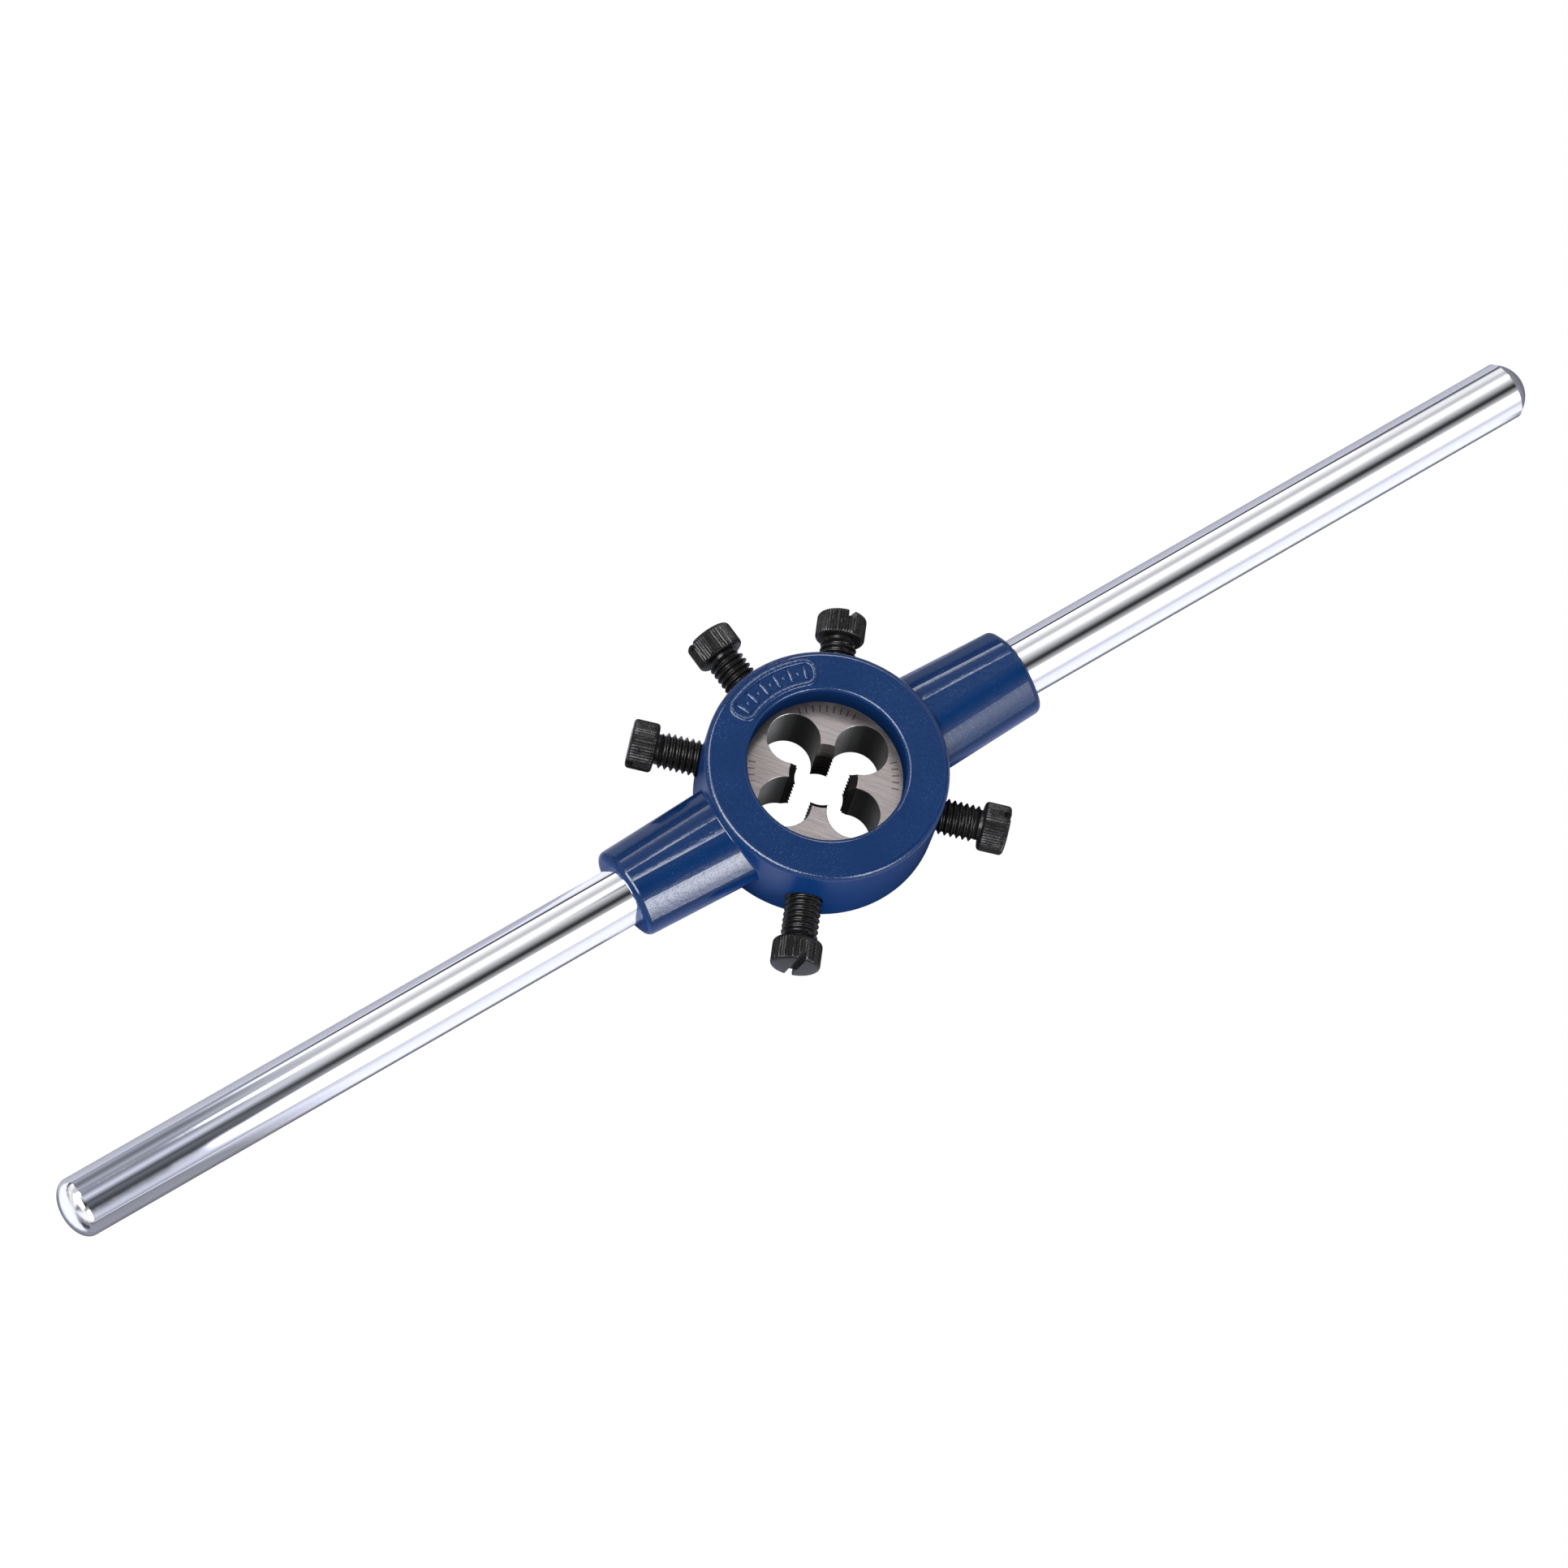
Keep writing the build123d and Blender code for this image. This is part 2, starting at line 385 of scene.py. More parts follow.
def make_plated_steel():
    material, shader = new_material("bright_plated_steel")
    place = shader.place()
    haze = shader.grain(place, plate_haze_size, 3.0)
    wave = shader.grain(shader.stretched(place, plate_wave_lengths), plate_wave_size, 1.0)
    y = shader.part(place, "Y")
    z = shader.part(place, "Z") - rod_height
    reach = (y * y + z * z).power(0.5)
    turned = shader.grain(shader.node("ShaderNodeCombineXYZ", {}, {"X": reach}), turned_line_size, 2.0)
    x = shader.part(place, "X")
    on_right = x.above(rod_tip + crisp_dome_past - crisp_dome_height + crisp_dome_chamfer_along)
    domed = on_right.most((0 - x).above(rod_tip - round_dome_height + round_dome_bright))
    roughness = shader.ramp(haze, plate_gloss) + domed * dome_dullness + on_right * crisp_dome_dullness
    normal = shader.bump(wave * plate_wave + domed * turned * turned_depth, 1 * mm)
    colour = shader.blend(on_right, plate_colour, crisp_dome_colour)
    values = {"Base Color": colour, "Roughness": roughness, "Normal": normal}
    shader.surface({"Metallic": 1.0}, values)
    return material


def make_ground_tool_steel():
    material, shader = new_material("ground_tool_steel")
    place = shader.place()
    x = shader.part(place, "X")
    y = shader.part(place, "Y")
    z = shader.part(place, "Z")
    along = shader.stretched(place, brush_lengths, brush_turn)
    fine = shader.grain(along, fine_brush_size, 3.0, 0.65)
    broad = shader.grain(along, broad_brush_size, 2.0, 0.5)
    lines = fine * fine_brush_share + broad * broad_brush_share
    patch = shader.grain(place, ground_patch_size, 2.0)
    ground = shader.ramp(lines, ground_shades)
    across = (x * face_light[0] + y * face_light[1]) / face_light_reach + 0.5
    face = shader.blend(shader.ramp(across, face_shadow_stops), ground, face_shadow)
    # Painted light and shade on the chip holes' walls, by the way they face
    facing = shader.node("ShaderNodeNewGeometry", {}, {}, "Normal")
    side = shader.part(facing, "X") * wall_light[0] + shader.part(facing, "Y") * wall_light[1]
    wall = shader.ramp(side * 0.5 + 0.5, chip_wall_painted_light)
    # Painted shade in the bore: the thread is dark lower down and lighter near the top face
    depth = (z - die_low.z) / (die_high.z - die_low.z)
    thread = shader.ramp(depth, thread_painted_shade)
    cutting = 1 - distance_from(x, y, 0, 0).above(die_lead_radius * 1.02)
    inside = z.above(die_low.z + 0.5 * chip_hole_rim) * (1 - z.above(die_high.z - 0.5 * chip_hole_rim))
    etched = etched_ticks(x, y) * shader.ramp(fine, etched_stops)
    face = shader.blend(etched, face, etched_colour)
    colour = shader.blend(inside, face, shader.blend(cutting, wall, thread))
    roughness = shader.ramp(patch, ground_gloss)
    normal = shader.bump(lines, brush_depth)
    shader.surface({"Metallic": 1.0}, {"Base Color": colour, "Roughness": roughness, "Normal": normal})
    return material


def etched_ticks(x, y):
    """One where a tick is etched, and nought between."""
    angle = x.maths("ARCTAN2", y, x)
    across = (x.maths("FRACT", angle / tick_step) - 0.5).size()
    reach = distance_from(x, y, 0, 0)
    tick = (1 - across.above(tick_share / 2)) * reach.above(tick_inner) * (1 - reach.above(tick_outer))
    rows = 0.0
    for start, end in tick_rows:
        rows = angle.above(radians(start)) * (1 - angle.above(radians(end))) + rows
    return tick * rows


def make_black_steel():
    material, shader = new_material("black_oxide_steel")
    place = shader.place()
    fleck = shader.grain(place, black_fleck_size, 3.0, 0.7)
    colour = shader.ramp(fleck, black_shades)
    roughness = shader.ramp(fleck, black_gloss)
    normal = shader.bump(fleck, black_fleck_depth)
    shader.surface({"IOR": black_ior}, {"Base Color": colour, "Roughness": roughness, "Normal": normal})
    return material


def finish_piece(piece, material):
    piece.data.materials.clear()
    piece.data.materials.append(material)


def add_object(name, data):
    made = bpy.data.objects.new(name, data)
    bpy.context.scene.collection.objects.link(made)
    return made


def new_piece(name, shape):
    mesh = bpy.data.meshes.new(name)
    shape.to_mesh(mesh)
    shape.free()
    return add_object(name, mesh)


def spin_line(shape, points, steps, rise=0.0):
    """Turns a line of points (radius, height) about the Z axis, with a rise for a screw thread."""
    corners = [shape.verts.new((radius, 0, height)) for radius, height in points]
    edges = [shape.edges.new(pair) for pair in zip(corners, corners[1:])]
    bmesh.ops.spin(
        shape,
        geom=corners + edges,
        cent=(0, 0, 0),
        axis=(0, 0, 1),
        dvec=(0, 0, rise / steps),
        angle=2 * pi,
        steps=steps,
        use_merge=rise == 0,
        use_duplicate=False,
    )
    bmesh.ops.remove_doubles(shape, verts=shape.verts[:], dist=0.0005 * mm)


def tidy_shape(shape):
    """Turns every face outwards and shades it smooth."""
    bmesh.ops.recalc_face_normals(shape, faces=shape.faces[:])
    for face in shape.faces:
        face.smooth = True


def final_mesh(drawn):
    """The mesh of an object with its modifiers, or of a curve with its thickness."""
    graph = bpy.context.evaluated_depsgraph_get()
    return bpy.data.meshes.new_from_object(drawn.evaluated_get(graph), depsgraph=graph)


def cut_with(piece, cutters):
    """Cuts a piece with others, which are then taken away."""
    for cutter in cutters:
        cut = piece.modifiers.new("cut", "BOOLEAN")
        cut.operation = "DIFFERENCE"
        cut.solver = "EXACT"
        cut.object = cutter
    mesh = final_mesh(piece)
    piece.modifiers.clear()
    piece.data = mesh
    for cutter in cutters:
        bpy.data.objects.remove(cutter)


def sharpen(piece, angle):
    """Keeps edges steeper than the angle crisp, and all others smooth."""
    shape = bmesh.new()
    shape.from_mesh(piece.data)
    for edge in shape.edges:
        if len(edge.link_faces) == 2:
            edge.smooth = edge.calc_face_angle(0.0) < angle
    for face in shape.faces:
        face.smooth = True
    shape.to_mesh(piece.data)
    shape.free()


def make_camera():
    data = bpy.data.cameras.new("view")
    data.lens = view_lens
    data.sensor_width = view_sensor
    data.clip_end = 100
    camera = add_object("view", data)
    turn = Matrix.Rotation(view_heading - pi / 2, 4, "Z")
    tilt = Matrix.Rotation(pi / 2 - view_dip, 4, "X")
    roll = Matrix.Rotation(view_roll, 4, "Z")
    camera.matrix_world = Matrix.Translation(view_place) @ turn @ tilt @ roll
    bpy.context.scene.camera = camera


# Brightness of the studio by the angle round the handles, in degrees from the horizon behind over the top
studio_bands = [
    (0, 0.03),
    (5, 0.1),
    (9, 0.3),
    (14, 0.8),
    (18, 1.0),
    (31, 0.9),
    (40, 0.62),
    (47, 0.6),
    (53, 0.9),
    (57, 1.1),
    (73, 1.15),
    (78, 0.9),
    (84, 0.6),
    (95, 0.3),
    (101, 0.13),
    (106, 0.035),
    (112, 0.045),
    (117, 0.2),
    (123, 0.36),
    (129, 0.57),
    (135, 0.95),
    (164, 1.1),
    (180, 0.8),
]
brightest_band = 1.2

# The same for the part of the studio that the last part of the left handle reflects
tip_bands = [
    (0, 0.3),
    (8, 0.45),
    (16, 0.33),
    (24, 0.2),
    (32, 0.22),
    (40, 0.38),
    (46, 0.5),
    (52, 0.34),
    (62, 0.33),
    (70, 0.26),
    (76, 0.4),
    (82, 0.67),
    (88, 0.82),
    (94, 0.55),
    (100, 0.25),
    (105, 0.1),
    (112, 0.16),
    (117, 0.15),
    (123, 0.1),
    (130, 0.06),
    (136, 0.08),
    (140, 0.17),
    (146, 0.26),
    (152, 0.44),
    (159, 0.62),
    (165, 0.75),
    (172, 0.6),
    (180, 0.4),
]
# That part, by the direction along the handles, from -1 to 1
tip_sides = [(0.16, 0), (0.185, 1), (0.222, 1), (0.247, 0)]

# Tints of the studio, and of that part
studio_tint = (0.96, 0.97, 1.0, 1)
tip_tint = (0.84, 0.88, 1.05, 1)

# Lamps: level, brightness by the angle round the handles, and by the direction along them
studio_lamps = [
    (
        14.0,
        [(57, 0), (59, 1), (67, 1), (69, 0)],
        [(-0.2, 0), (0.0, 1), (0.45, 1), (0.55, 0)],
    ),
    (
        25.0,
        [(129, 0), (134, 0.12), (139, 0.6), (145, 1), (150, 0.87), (157, 0.5), (164, 0.17), (174, 0)],
        [(-0.2, 0), (0.0, 1), (0.3, 1), (0.35, 0.15), (0.44, 0.14), (0.54, 0)],
    ),
    (
        9.0,
        [(10, 0), (14, 1), (18, 1), (24, 0)],
        [(0.0, 0), (0.25, 0.3), (0.31, 0.45), (0.37, 1), (0.4, 1), (0.41, 0)],
    ),
    (
        20.0,
        [(55, 0), (65, 1), (110, 1), (120, 0)],
        [(-0.7, 0), (-0.6, 1), (-0.25, 1), (-0.2, 0)],
    ),
]

# A dark card over the ring, by the same two directions
card_angles = [(69, 0), (71, 1), (78, 1), (82, 0)]
card_sides = [(0.28, 0), (0.295, 1), (0.35, 1), (0.36, 0)]
card_strength = 0.85


def light_the_studio():
    world = bpy.data.worlds.new("studio")
    bpy.context.scene.world = world
    world.use_nodes = True
    shader = Shader(world.node_tree)
    direction = shader.node("ShaderNodeTexCoord", {}, {}, "Generated")
    x = shader.part(direction, "X")
    y = shader.part(direction, "Y")
    z = shader.part(direction, "Z")
    around = x.maths("ARCTAN2", z, y) / pi

    def window(angles, sides):
        by_angle = shader.ramp(around, [(angle / 180, level) for angle, level in angles])
        by_side = shader.ramp(x * 0.5 + 0.5, [(side * 0.5 + 0.5, level) for side, level in sides])
        return by_angle * by_side

    plain = shader.ramp(around, [(angle / 180, level / brightest_band) for angle, level in studio_bands])
    level = plain * brightest_band * (1 - window(card_angles, card_sides) * card_strength)
    for strength, angles, sides in studio_lamps:
        level = level + window(angles, sides) * strength
    tip = shader.ramp(x * 0.5 + 0.5, [(side * 0.5 + 0.5, share) for side, share in tip_sides])
    tip = tip * z.above(0.0)
    by_tip = [(angle / 180, brightness) for angle, brightness in tip_bands]
    level = level * (1 - tip) + shader.ramp(around, by_tip) * tip
    path = shader.node("ShaderNodeLightPath", {}, {}, "Is Camera Ray")
    colour = shader.blend(tip, studio_tint, tip_tint)
    colour = shader.blend(path, colour, (1, 1, 1, 1))
    strength = level * (1 - path) + path
    studio = shader.node("ShaderNodeBackground", {}, {"Color": colour, "Strength": strength})
    shader.node("ShaderNodeOutputWorld", {}, {"Surface": studio})


def distance_from(x, y, middle_x, middle_y):
    return ((x - middle_x).power(2.0) + (y - middle_y).power(2.0)).power(0.5)


# The floor, its painted fade of light to the front and to the back, and its painted shade where it nearly
# touches the object
floor_half = 3.0
floor_sheet = (0.285, 0.29, 0.33, 1)
floor_fade_reach = 80 * mm
floor_fade = [(0.3, 1.0), (0.9, 0.8)]
floor_contact_reach = 5 * mm
floor_contact_power = 1.6
# From here outwards along the handles it has bands instead
floor_beside_reach = 40 * mm
floor_beside = [(0.77, 0.0), (0.87, 1.0)]
# Brightness of the floor beside the handles, by the place from front to back
floor_bands = [(-75, 0.7), (-40, 0.9), (-9, 1.0), (-6, 0.25), (6, 0.15), (9, 0.5), (75, 0.55)]
floor_width = 75 * mm
floor_length = 120 * mm
# It has its own level past the right end
floor_end = [(113, 0.0), (117, 1.0)]
floor_end_level = 0.27
floor_end_width = [(-14, 0.0), (-10, 1.0), (10, 1.0), (14, 0.0)]
# It is darker in a patch by the left end and in front of the left handle, and bright past the left end
floor_patch_middle = (-131 * mm, -18 * mm)
floor_patch_radius = 12 * mm
floor_patch_fade = [(0.8, 0.1), (1, 1)]
floor_front = [(-88, 0.3), (-70, 1.0)]
floor_front_edge = -7 * mm
floor_start = [(-119, 1.0), (-117, 0.0)]
floor_start_side = -9 * mm
# A painted shadow of the ring darkens it, and under the die it has a faint painted glow
floor_shade_middle = (3 * mm, -5 * mm)
floor_shade_radius = 25 * mm
floor_shade_fade = [(0.72, 0.15), (0.86, 1.0)]
under_radius = 20 * mm
under_glow_fade = [(0.55, 0.05), (0.65, 0.0)]


def spread(shader, value, reach, stops):
    """A ramp over a coordinate from minus the reach to the reach, its stops in millimetres."""
    places = [(place * mm / reach * 0.5 + 0.5, level) for place, level in stops]
    return shader.ramp(value / (2 * reach) + 0.5, places)


def make_floor():
    """A white floor for the camera, which the object sees with darker bands, as if from cards round it."""
    shape = bmesh.new()
    bmesh.ops.create_grid(shape, x_segments=1, y_segments=1, size=floor_half)
    floor = new_piece("floor", shape)
    material, shader = new_material("white_floor")
    camera_ray = shader.node("ShaderNodeLightPath", {}, {}, "Is Camera Ray")
    through = shader.node("ShaderNodeLightPath", {}, {}, "Is Transmission Ray")
    seen = camera_ray.most(through)
    near = shader.node("ShaderNodeAmbientOcclusion", {"samples": 8}, {"Distance": floor_contact_reach}, "AO")
    x = shader.part(shader.place(), "X")
    y = shader.part(shader.place(), "Y")
    lit = shader.ramp(y.size() / floor_fade_reach, floor_fade)
    front = spread(shader, x, floor_length, floor_front).most(y.above(floor_front_edge))
    end = spread(shader, x, floor_length, floor_end) * spread(shader, y, floor_width, floor_end_width)
    patch = distance_from(x, y, *floor_patch_middle) / floor_patch_radius
    bands = spread(shader, y, floor_width, floor_bands) * front * shader.ramp(patch, floor_patch_fade)
    beside = bands * (1 - end) + end * floor_end_level
    outside = shader.ramp(x.size() / floor_beside_reach, floor_beside)
    bright = spread(shader, x, floor_length, floor_start) * y.above(floor_start_side)
    lit = lit * (1 - outside) + beside.most(bright) * outside
    # Painted shadow of the ring, and a faint painted glow under the die
    away = distance_from(x, y, *floor_shade_middle)
    shade = shader.ramp(away / floor_shade_radius, floor_shade_fade)
    under = shader.ramp(distance_from(x, y, 0, 0) / under_radius, under_glow_fade)
    # The floor's colour with painted contact shade, the painted fade of light and the painted shadow
    sheet = shader.blend(near.power(floor_contact_power) * lit * shade, (0, 0, 0, 1), floor_sheet)
    paper = shader.node("ShaderNodeBsdfDiffuse", {}, {"Color": sheet})
    glow = shader.node("ShaderNodeEmission", {}, {"Color": (1, 1, 1, 1), "Strength": 1.0})
    mixed = shader.node("ShaderNodeMixShader", {}, {0: seen.most(under), 1: paper, 2: glow})
    shader.node("ShaderNodeOutputMaterial", {}, {"Surface": mixed})
    floor.data.materials.append(material)


def add_thread(shape, root, crest, pitch, low, high, steps, outline):
    """A right-hand thread about the Z axis that reaches past low and high, open at both ends."""
    turns = int((high - low) / pitch) + 3
    points = []
    for turn in range(turns):
        for share, reach in outline:
            points.append((root + reach * (crest - root), low + (turn - 1 + share) * pitch))
    points.append((root, low + (turns - 1) * pitch))
    spin_line(shape, points, steps, pitch)


def close_end(shape, height, side):
    """Cuts a shape off square at a height, on the side away from its middle, and closes it."""
    geometry = shape.verts[:] + shape.edges[:] + shape.faces[:]
    cut = bmesh.ops.bisect_plane(
        shape, geom=geometry, plane_co=(0, 0, height), plane_no=(0, 0, side), clear_outer=True,
    )
    edges = [item for item in cut["geom_cut"] if isinstance(item, bmesh.types.BMEdge)]
    bmesh.ops.edgeloop_fill(shape, edges=edges)


def limit_thread(shape, limit):
    """Draws a shape in to the largest radius that the limit allows at each height."""
    for vertex in shape.verts:
        radius = hypot(vertex.co.x, vertex.co.y)
        most = limit(vertex.co.z)
        if radius > most:
            vertex.co.x *= most / radius
            vertex.co.y *= most / radius


def make_knurled_head(seed):
    """The head of one screw, with fine knurling that is a little uneven, standing on the Z axis."""
    chance = random.Random(seed)
    steps = knurl_count * 4
    depths = [knurl_depth * chance.uniform(*knurl_depth_spread) for _ in range(knurl_count)]
    low = screw_reach
    high = screw_reach + head_length
    turns = [pi / 2 * step / 4 for step in range(5)]
    under = []
    for turn in turns:
        radius = head_radius - head_round * (1 - sin(turn))
        under.append((low + head_round * (1 - cos(turn)), radius, sin(turn)))
    over = [(high - height + low, radius, share) for height, radius, share in reversed(under)]
    straight = head_length - 2 * head_round
    body = [(low + head_round + straight * step / 6, head_radius, 1.0) for step in range(1, 6)]
    # Each row is a height, a radius, and how much of the knurling it has
    rows = under + body + over
    shape = bmesh.new()
    bmesh.ops.create_circle(shape, segments=steps, radius=head_radius)
    ring = shape.verts[:]
    edges = shape.edges[:]
    for index, (height, radius, share) in enumerate(rows):
        if index:
            grown = bmesh.ops.extrude_edge_only(shape, edges=edges)["geom"]
            ring = [item for item in grown if isinstance(item, bmesh.types.BMVert)]
            edges = [item for item in grown if isinstance(item, bmesh.types.BMEdge)]
        for vertex in ring:
            turn = atan2(vertex.co.y, vertex.co.x) % (2 * pi)
            step = round(turn / (2 * pi) * steps) % steps
            groove = knurl_outline[step % 4] * depths[step // 4] * share * chance.uniform(*knurl_wear_spread)
            angle = step * 2 * pi / steps
            vertex.co = ((radius - groove) * cos(angle), (radius - groove) * sin(angle), height)
        if index == 0:
            bmesh.ops.edgeloop_fill(shape, edges=edges)
    bmesh.ops.edgeloop_fill(shape, edges=edges)
    tidy_shape(shape)
    return new_piece("head", shape)


def make_slot_cutter(turn):
    shape = bmesh.new()
    bmesh.ops.create_cube(shape, size=1.0)
    bmesh.ops.scale(shape, vec=(head_radius * 3, slot_width, slot_depth * 2), verts=shape.verts[:])
    bmesh.ops.translate(shape, vec=(0, 0, screw_reach + head_length), verts=shape.verts[:])
    bmesh.ops.rotate(shape, cent=(0, 0, 0), matrix=Matrix.Rotation(turn, 3, "Z"), verts=shape.verts[:])
    return new_piece("slot", shape)


def make_screw_shank():
    """A threaded shank round a plain core, with a cone at its tip and a neck under the head."""
    thread_end = screw_reach - neck_length
    core_radius = thread_root_radius - core_sink
    shape = bmesh.new()
    add_thread(
        shape, thread_root_radius, thread_radius, thread_pitch, thread_start, thread_end, 40, thread_outline,
    )

    def limit(height):
        on_tip = tip_radius + height + cone_cover
        at_neck = core_radius - runout_sink + (thread_end - height) * thread_runout_slope
        return min(on_tip, at_neck)

    limit_thread(shape, limit)
    close_end(shape, thread_start, -1)
    close_end(shape, thread_end - core_sink, 1)
    core = bmesh.new()
    core_points = [
        (0, 0),
        (tip_radius, 0),
        (core_radius, core_radius - tip_radius),
        (core_radius, thread_end - 2 * neck_taper),
        (neck_radius, thread_end - neck_taper),
        (neck_radius, screw_reach + head_chamfer),
        (0, screw_reach + head_chamfer),
    ]
    spin_line(core, core_points, 40)
    merge_shapes(shape, core)
    tidy_shape(shape)
    return shape


def merge_shapes(shape, other):
    carried = bpy.data.meshes.new("carried")
    other.to_mesh(carried)
    other.free()
    shape.from_mesh(carried)
    bpy.data.meshes.remove(carried)


def screw_direction(name):
    return Vector(next(joint["axis"] for joint in frame["joints"] if joint["child"] == name))


def on_screw_line(name, reach):
    """Takes the Z axis to the line of one screw, and the origin to this distance from the ring's axis."""
    outwards = screw_direction(name)
    up = Vector((0, 0, 1))
    place = Matrix((up.cross(outwards), up, outwards)).transposed().to_4x4()
    place.translation = outwards * reach + up * screw_height
    return place


def make_screw(name, seed):
    """One screw, right-hand thread, in the place of its node and along its joint."""
    outwards = screw_direction(name)
    reach = min(vertex.co.dot(outwards) for vertex in frame["nodes"][name].data.vertices)
    head = make_knurled_head(seed)
    cut_with(head, [make_slot_cutter(slot_turns[name])])
    shape = make_screw_shank()
    shape.from_mesh(head.data)
    bpy.data.objects.remove(head)
    bmesh.ops.recalc_face_normals(shape, faces=shape.faces[:])
    screw = new_piece(name + "_cut", shape)
    screw.data.transform(on_screw_line(name, reach))
    sharpen(screw, radians(35))
    finish_piece(screw, black)
    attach(screw, name)
    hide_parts(name)


def make_turned_piece(name, points, steps=128):
    shape = bmesh.new()
    spin_line(shape, points, steps)
    tidy_shape(shape)
    return new_piece(name, shape)


def make_handle(name, side, dome):
    """A rod with its spigot in the boss and a turned dome at its free end."""
    ease = 0.1 * mm
    points = [
        (0, rod_root),
        (spigot_radius - ease, rod_root),
        (spigot_radius, rod_root + ease),
        (spigot_radius, boss_end),
        (rod_radius, boss_end),
    ]
    rod = make_turned_piece(name + "_turned", points + dome)
    turn = Matrix.Rotation(side * pi / 2, 4, "Y")
    rod.data.transform(Matrix.Translation((0, 0, rod_height)) @ turn)
    sharpen(rod, radians(20))
    finish_piece(rod, plated)
    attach(rod, "stock")
    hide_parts(name)


def crisp_dome():
    """The right handle's end, as radius and height: a small chamfer, a flat step and a shallow dome."""
    tip = rod_tip + crisp_dome_past
    start = tip - crisp_dome_height
    base = rod_radius - dome_step
    sphere = (base**2 + crisp_dome_height**2) / (2 * crisp_dome_height)
    first = asin(base / sphere)
    turns = [first * (1 - step / 16) for step in range(17)]
    arc = [(sphere * sin(turn), tip - sphere + sphere * cos(turn)) for turn in turns]
    chamfer = [(rod_radius, start - crisp_dome_chamfer_along), (rod_radius - crisp_dome_chamfer_in, start)]
    return chamfer + arc


def round_dome():
    """The left handle's end, as radius and height: a smooth dome that starts in line with the rod."""
    start = rod_tip - round_dome_height
    turns = [pi / 2 * step / 24 for step in range(25)]
    dome = [(rod_radius * cos(turn), start + round_dome_height * sin(turn)) for turn in turns]
    return [(rod_radius, start - dome_step), *dome]


def make_die():
    blank = make_turned_piece(
        "round_die_cut",
        [
            (0, die_low.z),
            (die_radius - die_edge, die_low.z),
            (die_radius, die_low.z + die_edge),
            (die_radius, die_high.z - die_edge),
            (die_radius - die_edge, die_high.z),
            (0, die_high.z),
        ],
    )
    cutters = [make_chip_cutter(die_turn + index * pi / 2) for index in range(4)]
    cutters += [make_tap(), make_lead(1), make_lead(-1)]
    cutters += [make_dimple_cutter(name) for name in slot_turns]
    cut_with(blank, cutters)
    sharpen(blank, radians(30))
    finish_piece(blank, tool_steel)
    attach(blank, "stock")
    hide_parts("round_die")


def make_chip_cutter(angle):
    past = 1.0 * mm
    flare = chip_hole_radius + chip_hole_rim
    points = [
        (0, die_low.z - past),
        (flare + past, die_low.z - past),
        (chip_hole_radius, die_low.z + chip_hole_rim),
        (chip_hole_radius, die_high.z - chip_hole_rim),
        (flare + past, die_high.z + past),
        (0, die_high.z + past),
    ]
    cutter = make_turned_piece("chip_hole", points, 72)
    cutter.data.transform(Matrix.Rotation(angle, 4, "Z") @ Matrix.Translation((chip_hole_place, 0, 0)))
    return cutter


def make_dimple_cutter(name):
    """A square cone that seats the tip of one screw in the edge of the die."""
    size = 2 * dimple_depth
    cutter = make_turned_piece("dimple", [(0, 0), (size, size), (0, size)], 48)
    cutter.data.transform(on_screw_line(name, die_radius - dimple_depth - dimple_gap))
    return cutter


def make_tap():
    """The cutter of the die's bore and thread."""
    past = 0.5 * mm
    low = die_low.z - past
    high = die_high.z + past
    shape = bmesh.new()
    add_thread(shape, die_bore_radius, die_thread_radius, die_pitch, low, high, 72, tap_outline)
    close_end(shape, low, -1)
    close_end(shape, high, 1)
    tidy_shape(shape)
    return new_piece("tap", shape)


def make_lead(side):
    """A cone that opens the thread at one face of the die."""
    past = 1.0 * mm
    face = die_high.z if side > 0 else die_low.z
    tip = face - side * die_lead_radius / tan(die_lead_angle)
    wide = die_lead_radius + past * tan(die_lead_angle)
    return make_turned_piece("lead", [(0, tip), (wide, face + side * past), (0, face + side * past)], 96)


def label_path():
    """Points round the middle line of the label's raised frame, on the ring's top face."""
    corner_steps = 8
    side_steps = 24
    points = []
    corners = [
        (label_outer - label_corner, 1, 1),
        (label_inner + label_corner, 1, -1),
        (label_inner + label_corner, -1, -1),
        (label_outer - label_corner, -1, 1),
    ]
    for middle_radius, side, outward in corners:
        middle_angle = label_middle + side * (label_half_angle - label_corner / middle_radius)
        centre = Vector((middle_radius * cos(middle_angle), middle_radius * sin(middle_angle)))
        along = Vector((-sin(middle_angle), cos(middle_angle))) * side
        out = Vector((cos(middle_angle), sin(middle_angle))) * outward
        first, last = (out, along) if outward * side > 0 else (along, out)
        for step in range(corner_steps + 1):
            turn = pi / 2 * step / corner_steps
            points.append(centre + label_corner * (first * cos(turn) + last * sin(turn)))
        if outward < 0 and side > 0 or outward > 0 and side < 0:
            radius = label_inner if outward < 0 else label_outer
            span = label_half_angle - label_corner / middle_radius
            for step in range(1, side_steps):
                angle = label_middle + side * span * (1 - 2 * step / side_steps)
                points.append(Vector((radius * cos(angle), radius * sin(angle))))
    return points


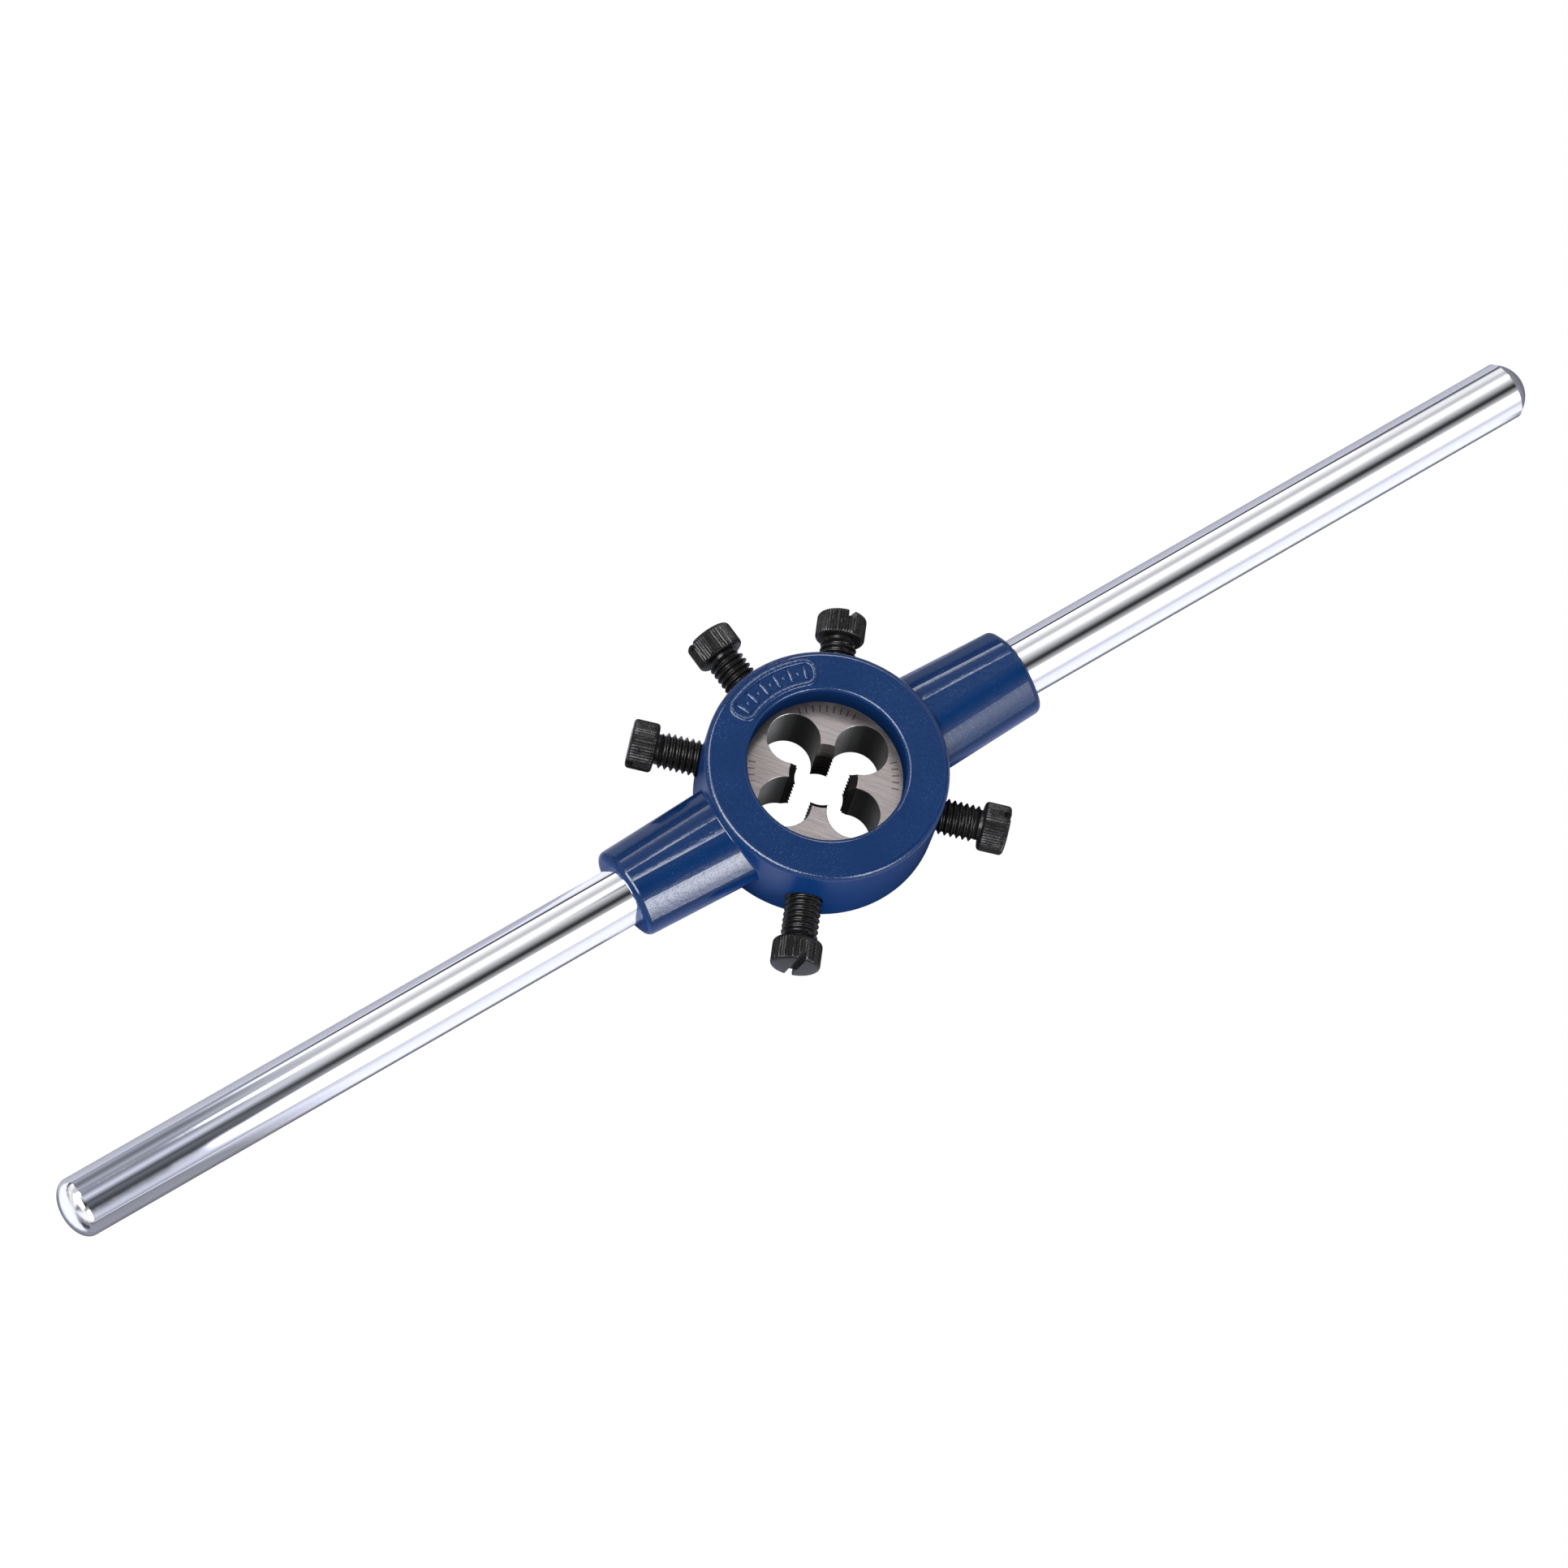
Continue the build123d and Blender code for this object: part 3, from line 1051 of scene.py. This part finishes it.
def make_label_frame():
    """The raised frame: a bead with a narrow flat, half sunk in the ring's top face."""
    curve = bpy.data.curves.new("label_frame_line", "CURVE")
    curve.dimensions = "3D"
    curve.bevel_depth = label_bead
    curve.extrude = label_flat
    curve.twist_mode = "Z_UP"
    curve.bevel_resolution = 4
    line = curve.splines.new("POLY")
    path = label_path()
    line.points.add(len(path) - 1)
    for point, place in zip(line.points, path):
        point.co = (place.x, place.y, ring_top + label_rise - label_bead, 1)
        point.tilt = pi / 2
    line.use_cyclic_u = True
    drawn = add_object("label_frame_line", curve)
    mesh = final_mesh(drawn)
    bpy.data.objects.remove(drawn)
    piece = add_object("label_frame", mesh)
    sharpen(piece, radians(60))
    finish_piece(piece, label_enamel)
    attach(piece, "stock")


def add_bar(shape, angle, radius, length, half_width):
    """A raised bar with round ends that points away from the ring's axis. A bar with no length is a pip."""
    made = bmesh.ops.create_uvsphere(shape, u_segments=16, v_segments=8, radius=half_width)["verts"]
    for vertex in made:
        vertex.co.x += length / 2 if vertex.co.x > 0 else -length / 2
    bmesh.ops.translate(shape, vec=(radius, 0, ring_top + label_rise - half_width), verts=made)
    bmesh.ops.rotate(shape, cent=(0, 0, 0), matrix=Matrix.Rotation(angle, 3, "Z"), verts=made)


def make_label_marks():
    """Plain bars and pips, as on a scale, in the raised frame."""
    shape = bmesh.new()
    middle = (label_inner + label_outer) / 2
    for index in range(label_mark_count):
        share = 2 * index / (label_mark_count - 1) - 1
        angle = label_middle + label_half_angle * label_mark_spread * share
        length = label_bar if index % 2 == 0 else 0.0
        add_bar(shape, angle, middle, length, label_mark_half)
    tidy_shape(shape)
    piece = new_piece("label_marks", shape)
    finish_piece(piece, label_enamel)
    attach(piece, "stock")


def finish_frame_nodes():
    for name, node in frame["nodes"].items():
        if name == "stock_body":
            finish_piece(node, enamel)
        elif name == "round_die":
            finish_piece(node, tool_steel)
        elif name.endswith("_handle"):
            finish_piece(node, plated)
        else:
            finish_piece(node, black)


enamel = make_blue_enamel("blue_enamel_coat", rim_grain, 0.0)
label_enamel = make_blue_enamel("blue_enamel_label", label_grain, 1.0)
plated = make_plated_steel()
tool_steel = make_ground_tool_steel()
black = make_black_steel()
finish_frame_nodes()
for number, screw_name in enumerate(slot_turns):
    make_screw(screw_name, number)
make_handle("left_handle", -1, round_dome())
make_handle("right_handle", 1, crisp_dome())
make_die()
make_label_frame()
make_label_marks()
make_camera()
light_the_studio()
make_floor()
bpy.context.scene.view_settings.view_transform = "Standard"
